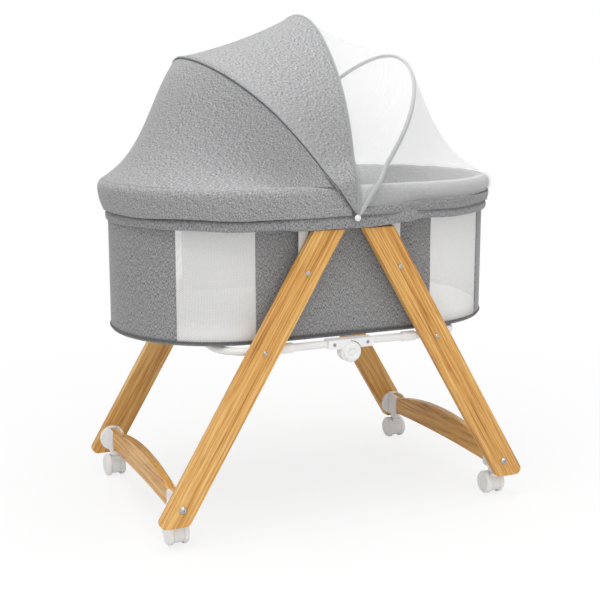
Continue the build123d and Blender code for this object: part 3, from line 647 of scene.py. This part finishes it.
# hood and net: sections on the bows' planes, tilted about the common pivot
canopy = {"pivotZ": 0.646, "half": 0.2672, "upright": 0.07, "baseZ": 0.7105, "rimAt": {"mid": 0.2665, "net": 0.2560},
          "edge": 0.5, "hollow": 0.007, "hollowHeight": 0.04, "sink": 0.0022, "flareAbove": 0.130, "flareFull": 0.070,
          "bulgeFrom": 0.05, "bulgeAcross": 0.15, "sagFrom": 0.06, "sagFull": 0.2, "tapeClose": 0.012,
          "bows": {"mid": {"tilt": -40.3, "height": 0.4117, "crown": 0.2547, "bulge": 0.006, "lean": -4.6},
                   "front": {"tilt": -1.5, "height": 0.4016, "crown": 0.2, "bulge": 0.0, "lean": 0.0},
                   "net": {"tilt": 34.0, "height": 0.3864, "crown": 0.262, "bulge": 0.016, "lean": 0.6}},
          "hoodWaists": [(-55.3, 0.3893, 0.2080), (-65.2, 0.3843, 0.2241)],
          "netWaists": [(53.0, 0.3521, 0.2015), (67.7, 0.3588, 0.2303)]}


def archCurve(half, height, crown, foot, share):
    # upright feet, two side arcs and a crown arc, all tangent, walked evenly from the front foot to the rear one
    upright = canopy["upright"]
    lift = height - crown - upright
    side = (half**2 + lift**2 - crown**2) / (2 * (half - crown))
    shift = side - half
    bend = np.arctan2(lift, shift)
    # the walk is measured from the upright's top
    begin = foot - upright if foot < upright else side * np.arcsin((foot - upright) / side)
    near = begin + np.minimum(share, 1 - share) * 2 * (side * bend + crown * (pi / 2 - bend) - begin)
    turnSide, turnCrown = near / side, bend + (near - side * bend) / crown
    spots = [near < 0, near < side * bend]
    across = np.select(spots, [-half, shift - side * np.cos(turnSide)], -crown * np.cos(turnCrown))
    rise = np.select(spots, [upright + near, upright + side * np.sin(turnSide)],
                     height - crown + crown * np.sin(turnCrown))
    return np.where(share < 0.5, across, -across), rise


def onBow(across, rise, tilt):
    # a section point on the plane of a bow
    turn = np.radians(tilt)
    return np.stack(np.broadcast_arrays(rise * np.sin(turn), across, canopy["pivotZ"] + rise * np.cos(turn)), -1)


share = np.linspace(0, 1, 181)


def bowLine(bow, edge, foot, narrow=0.0, under=0.0):
    # line over a bow: its arch, widened by the bulge half-way up and leaning further towards the crown
    shape = canopy["bows"][bow]
    height = shape["height"] - under
    across, rise = archCurve(canopy["half"] - narrow, height, shape["crown"] - min(narrow, under), foot, share)
    low = canopy["bulgeFrom"]
    widen = np.sin(pi * np.clip((rise - low) / (height - low), 0, 1)) * np.clip(across / canopy["bulgeAcross"], -1, 1)
    return across + shape["bulge"] * widen, rise, shape["tilt"] + edge + shape["lean"] * ((rise / height) ** 2 - 1)


def flared(across, rise, flare):
    # feet led outside the rim, below a set height on the bow
    return across + flare * smooth(-rise, -canopy["flareAbove"], -canopy["flareFull"]) * np.sign(across)


def stretchedPanel(fromBow, toBow, foot, sag, flare, count):
    # cloth stretched from bow to bow: straight between them with a slight hollow, its feet led outside the rim
    lines = []
    for bow, edge in ((fromBow, -canopy["edge"]), (toBow, canopy["edge"])):
        across, rise, tilt = bowLine(bow, edge, foot)
        lines.append(onBow(flared(across, rise, flare), rise, tilt))
    part = np.linspace(0, 1, count)[None, :, None]
    points = lines[0][:, None] * (1 - part) + lines[1][:, None] * part
    away = points - np.array([0, 0, canopy["pivotZ"]])
    reach = np.linalg.norm(away * np.array([1, 0.6, 1]), axis=-1, keepdims=True)
    fullness = smooth(rise, canopy["sagFrom"], canopy["sagFull"])[:, None, None]
    return points - away / reach * (sag * np.sin(pi * part) ** 0.6 * fullness)


def drawnPanel(bow, side, waists):
    # cloth drawn in between a bow and the rim: a cubic through bow, two waists and rim, all with their feet on the rim
    level = canopy["baseZ"] - canopy["pivotZ"]
    shape = canopy["bows"][bow]
    across, rise, tilt = bowLine(bow, side * canopy["edge"], level / cos(radians(shape["tilt"] - shape["lean"])))
    lines = [onBow(across, rise, tilt)]
    for tilt, height, crown in waists:
        across, rise = archCurve(canopy["half"], height, crown, level / cos(radians(tilt)), share)
        lines.append(onBow(across, rise, tilt))
    path = ringPath(skirt["straight"], canopy["rimAt"][bow], len(share), start=skirt["straight"], closed=False)
    turnX = np.array([side, 1, 1])
    lines.append(ringSurface(path, np.array([canopy["rimAt"][bow]]), canopy["baseZ"])[:, 0] * turnX)
    crowns = np.array(lines)[:, len(share) // 2]
    knots = np.append(0, np.cumsum(np.linalg.norm(np.diff(crowns, axis=0), axis=1)))
    knots = knots / knots[-1]
    part = np.linspace(0, 1, 48)
    points = 0
    for index, line in enumerate(lines):
        others = np.delete(knots, index)
        weight = np.prod((part[:, None] - others) / (knots[index] - others), axis=1)
        points = points + line[:, None] * weight[None, :, None]
    spine = np.clip(points[..., 0], -skirt["straight"], skirt["straight"])
    outward = points[..., :2] - np.stack([spine, 0 * spine], -1)
    outward /= np.linalg.norm(outward, axis=-1, keepdims=True)
    # a soft hollow where it meets the rim
    foot = (1 - np.clip((points[..., 2] - canopy["baseZ"]) / canopy["hollowHeight"], 0, 1)) ** 2
    hollow = np.concatenate([outward * canopy["hollow"], np.full_like(outward[..., :1], -canopy["sink"])], -1)
    return points + hollow * foot[..., None]


def foldBetween(piece):
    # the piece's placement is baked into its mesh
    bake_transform(piece)


def archTape(bow, narrow, under, foot, flare, wide, deep, edge=0.0, count=14):
    # oval tape carried along a bow: its section lies across the bow's plane and closes at both ends
    across, rise, tilt = bowLine(bow, edge, foot, narrow, under)
    line = np.stack([flared(across, rise, flare), rise], -1)
    ahead = np.gradient(line, axis=0)
    ahead /= np.linalg.norm(ahead, axis=1, keepdims=True)
    outward = np.stack([-ahead[:, 1], ahead[:, 0]], -1)
    turn = np.linspace(0, 2 * pi, count, endpoint=False)
    toEnd = np.clip(np.minimum(share, 1 - share) / canopy["tapeClose"], 0.02, 1)
    closing = np.sqrt(1 - (1 - toEnd) ** 2)[:, None]
    flat = line[:, None] + outward[:, None] * (closing * deep * np.cos(turn))[..., None]
    lift = np.radians(tilt)
    normal = np.stack([np.cos(lift), np.zeros_like(lift), -np.sin(lift)], -1)
    aside = normal[:, None] * (closing * wide * np.sin(turn))[..., None]
    return onBow(flat[..., 0], flat[..., 1], tilt[:, None]) + aside


hoodFrontCut = {"foot": 0.012, "sag": 0.010, "flare": 0.0160, "count": 40}
points = stretchedPanel("front", "mid", **hoodFrontCut)
hoodFront = thicken(gridPiece("hoodFrontPanel", points, "hoodCloth"), clothThick["hood"])
stand(hoodFront, "grey_cloth", "hood_front_panel")
foldBetween(hoodFront)
cutCloth(hoodFront, points, "stretched", "hood_front_bow", "hood_mid_bow")

points = drawnPanel("mid", -1, canopy["hoodWaists"])
hoodRear = thicken(gridPiece("hoodRearPanel", points, "hoodCloth"), clothThick["hood"])
stand(hoodRear, "grey_cloth", "hood_rear_panel")
foldBetween(hoodRear)
cutCloth(hoodRear, points, "stretched", "hood_mid_bow", "rim_padding")

netFrontCut = {"foot": 0.016, "sag": 0.014, "flare": 0.0160, "count": 40}
points = stretchedPanel("net", "front", **netFrontCut)
netFront = gridPiece("netFrontPanel", points, "insectNet")
stand(netFront, "white_mesh", "net_front_panel")
foldBetween(netFront)
cutCloth(netFront, points, "stretched", "hood_front_bow", "net_bow")

points = drawnPanel("net", 1, canopy["netWaists"])
netEnd = gridPiece("netEndPanel", points, "insectNet", flip=True)
cutCloth(netEnd, points, "stretched", "net_bow", "rim_padding")
stand(netEnd, "white_mesh", "net_end_panel")
stand(netHem, "grey_cloth", "net_hem")
for piece in (netEnd, netRimBand, netHem):
    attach(piece, "net")
    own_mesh(piece)

# bow, distance inside the cloth at the sides and at the crown, foot, flare at the foot, half width, half depth,
# and degrees off the bow's plane
tapes = {
    "hoodMidWire": ("mid", 0.0110, 0.0055, 0.006, 0.0, 0.0015, 0.0015),
    "netWire": ("net", 0.0040, 0.0045, 0.006, 0.0, 0.0015, 0.0015),
    "hoodMidSleeve": ("mid", 0.0008, 0.0004, 0.062, 0.0160, 0.0034, 0.0032),
    "hoodFrontBinding": ("front", 0.0032, 0.0028, 0.005, 0.0175, 0.0034, 0.0056),
    "netBinding": ("net", 0.0016, 0.0020, 0.005, 0.0175, 0.0048, 0.0030),
    "hoodMidSeam": ("mid", -0.0010, -0.0008, 0.012, 0.0160, 0.0014, 0.0015, -0.55)}
for name, finish, body, slot, node in (
        ("hoodMidWire", "spring", "hood_mid", "dark_steel", "hood_mid_bow"),
        ("netWire", "spring", "net", "dark_steel", "net_bow"),
        ("hoodMidSleeve", "hoodCloth", "hood_mid", "grey_binding", "hood_mid_sleeve"),
        ("hoodFrontBinding", "binding", "hood_front", "grey_binding", "hood_front_binding"),
        ("netBinding", "netTape", "net", "grey_binding", "net_binding")):
    tape = gridPiece(name, archTape(*tapes[name]), finish, False, True)
    settle(tape, body, slot, node)
seam = gridPiece("hoodMidSeam", archTape(*tapes["hoodMidSeam"]), "piping", False, True)
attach(seam, "hood_mid")
print("hood and net sewn")

# raised ring and boss on both faces of the hub, turned about its axis: (radius, distance from the middle)
hubFace = {"height": 0.3675, "outline": [
    (0, 0.2634), (0.0046, 0.2634), (0.0053, 0.2628), (0.0053, 0.2617), (0.0082, 0.2617), (0.0098, 0.2627),
    (0.0101, 0.2638), (0.0108, 0.2645), (0.0172, 0.2645), (0.0180, 0.2638), (0.0182, 0.2582)]}
radius, reach = np.array(hubFace["outline"]).T[:, None, :]
spin = np.linspace(0, 2 * pi, 48, endpoint=False)[:, None]
for word, side in (("Front", -1), ("Rear", 1)):
    points = np.stack([radius * np.cos(spin), side * reach + 0 * spin, hubFace["height"] + radius * np.sin(spin)], -1)
    piece = gridPiece("hubRing" + word, points, "whitePlastic", closedRows=True, flip=side < 0, weld=True)
    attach(piece, "hub")
    crisp = piece.modifiers.new("edges", "BEVEL")
    crisp.width, crisp.segments = 0.0003, 2
print("hub faces turned")

# studio: pale floor, soft lamps, camera at the photograph's angle
studio = {"ambient": 0.46, "floorGlow": 0.8, "fadeFrom": 0.7, "fadeTo": 1.7,
          "lamps": {  # power, size, place and the height aimed at
              "keyLamp": (7.0, 2.2, (-1.7, -2.2, 2.4), 0.5),
              "fillLamp": (4.0, 2.2, (2.3, -1.6, 1.6), 0.5),
              "topLamp": (80.0, 2.6, (-0.3, -0.5, 3.2), 0.5),
              "lowLamp": (6.0, 1.4, (-0.5, -2.4, 0.3), 0.1)}}
floorMaterial, floorShader, floorTone = newMaterial("paleFloor", {"Roughness": 0.9, "Specular IOR Level": 0.2})
place = floorTone.node("ShaderNodeTexCoord", output="Object")
floorCloud = speckle(floorTone, place, 3, 2)
ramp(floorTone, floorCloud, (0.2, (0.91, 0.91, 0.91)), (0.8, (0.94, 0.94, 0.94))).feed(floorShader, "Base Color")
# the camera sees the floor turn into the white backdrop away from the stand
distance = floorTone.node("ShaderNodeVectorMath", {"operation": "LENGTH"}, {0: place}, output=1)
fade = floorTone.node("ShaderNodeMapRange", {"interpolation_type": "SMOOTHSTEP"}, {
    "Value": distance, "From Min": studio["fadeFrom"], "From Max": studio["fadeTo"],
    "To Min": studio["floorGlow"], "To Max": 1.0})
seen = floorTone.node("ShaderNodeLightPath", output="Is Camera Ray")
glow = floorTone.node("ShaderNodeEmission", {}, {"Color": (1, 1, 1, 1), "Strength": 1.0})
surface = floorTone.node("ShaderNodeMixShader", {}, {
    0: fade * seen, 1: Tone(floorMaterial.node_tree, floorShader.outputs[0]), 2: glow})
floorMaterial.node_tree.links.new(surface.socket, floorMaterial.node_tree.nodes["Material Output"].inputs["Surface"])
finishes["floor"] = floorMaterial
span = np.linspace(-6, 6, 3)
floorX, floorY = np.meshgrid(span, span, indexing="ij")
floor = gridPiece("floor", np.stack([floorX, floorY, np.full_like(floorX, -0.0004)], -1), "floor")

world = bpy.context.scene.world or bpy.data.worlds.new("studio")
bpy.context.scene.world = world
world.use_nodes = True
sky = Tone(world.node_tree)
background = world.node_tree.nodes["Background"]
rays = ("Is Camera Ray", "Is Glossy Ray", "Is Transmission Ray")
path = [sky.node("ShaderNodeLightPath", output=ray) for ray in rays]
seen = sky.maths("MAXIMUM", sky.maths("MAXIMUM", path[0], path[1]), path[2])
(studio["ambient"] + (1 - studio["ambient"]) * seen).feed(background, "Strength")
background.inputs["Color"].default_value = (1, 1, 1, 1)

for name, (power, size, spot, aim) in studio["lamps"].items():
    lamp = bpy.data.lights.new(name, "AREA")
    lamp.energy, lamp.size = power, size
    holder = bpy.data.objects.new(name, lamp)
    bpy.context.scene.collection.objects.link(holder)
    holder.location = spot
    holder.rotation_euler = (Vector((0, 0, aim)) - holder.location).to_track_quat("-Z", "Y").to_euler()

view = {"eye": (-1.0721, -2.4064, 0.9418), "turn": 0.419, "dip": 0.192, "lens": 72.15}
camera = bpy.data.objects.new("camera", bpy.data.cameras.new("camera"))
bpy.context.scene.collection.objects.link(camera)
camera.location = view["eye"]
camera.rotation_euler = (pi / 2 - view["dip"], 0, -view["turn"])
camera.data.lens, camera.data.sensor_width = view["lens"], 36
bpy.context.scene.camera = camera
bpy.context.scene.view_settings.view_transform = "Standard"

print("scene ready")
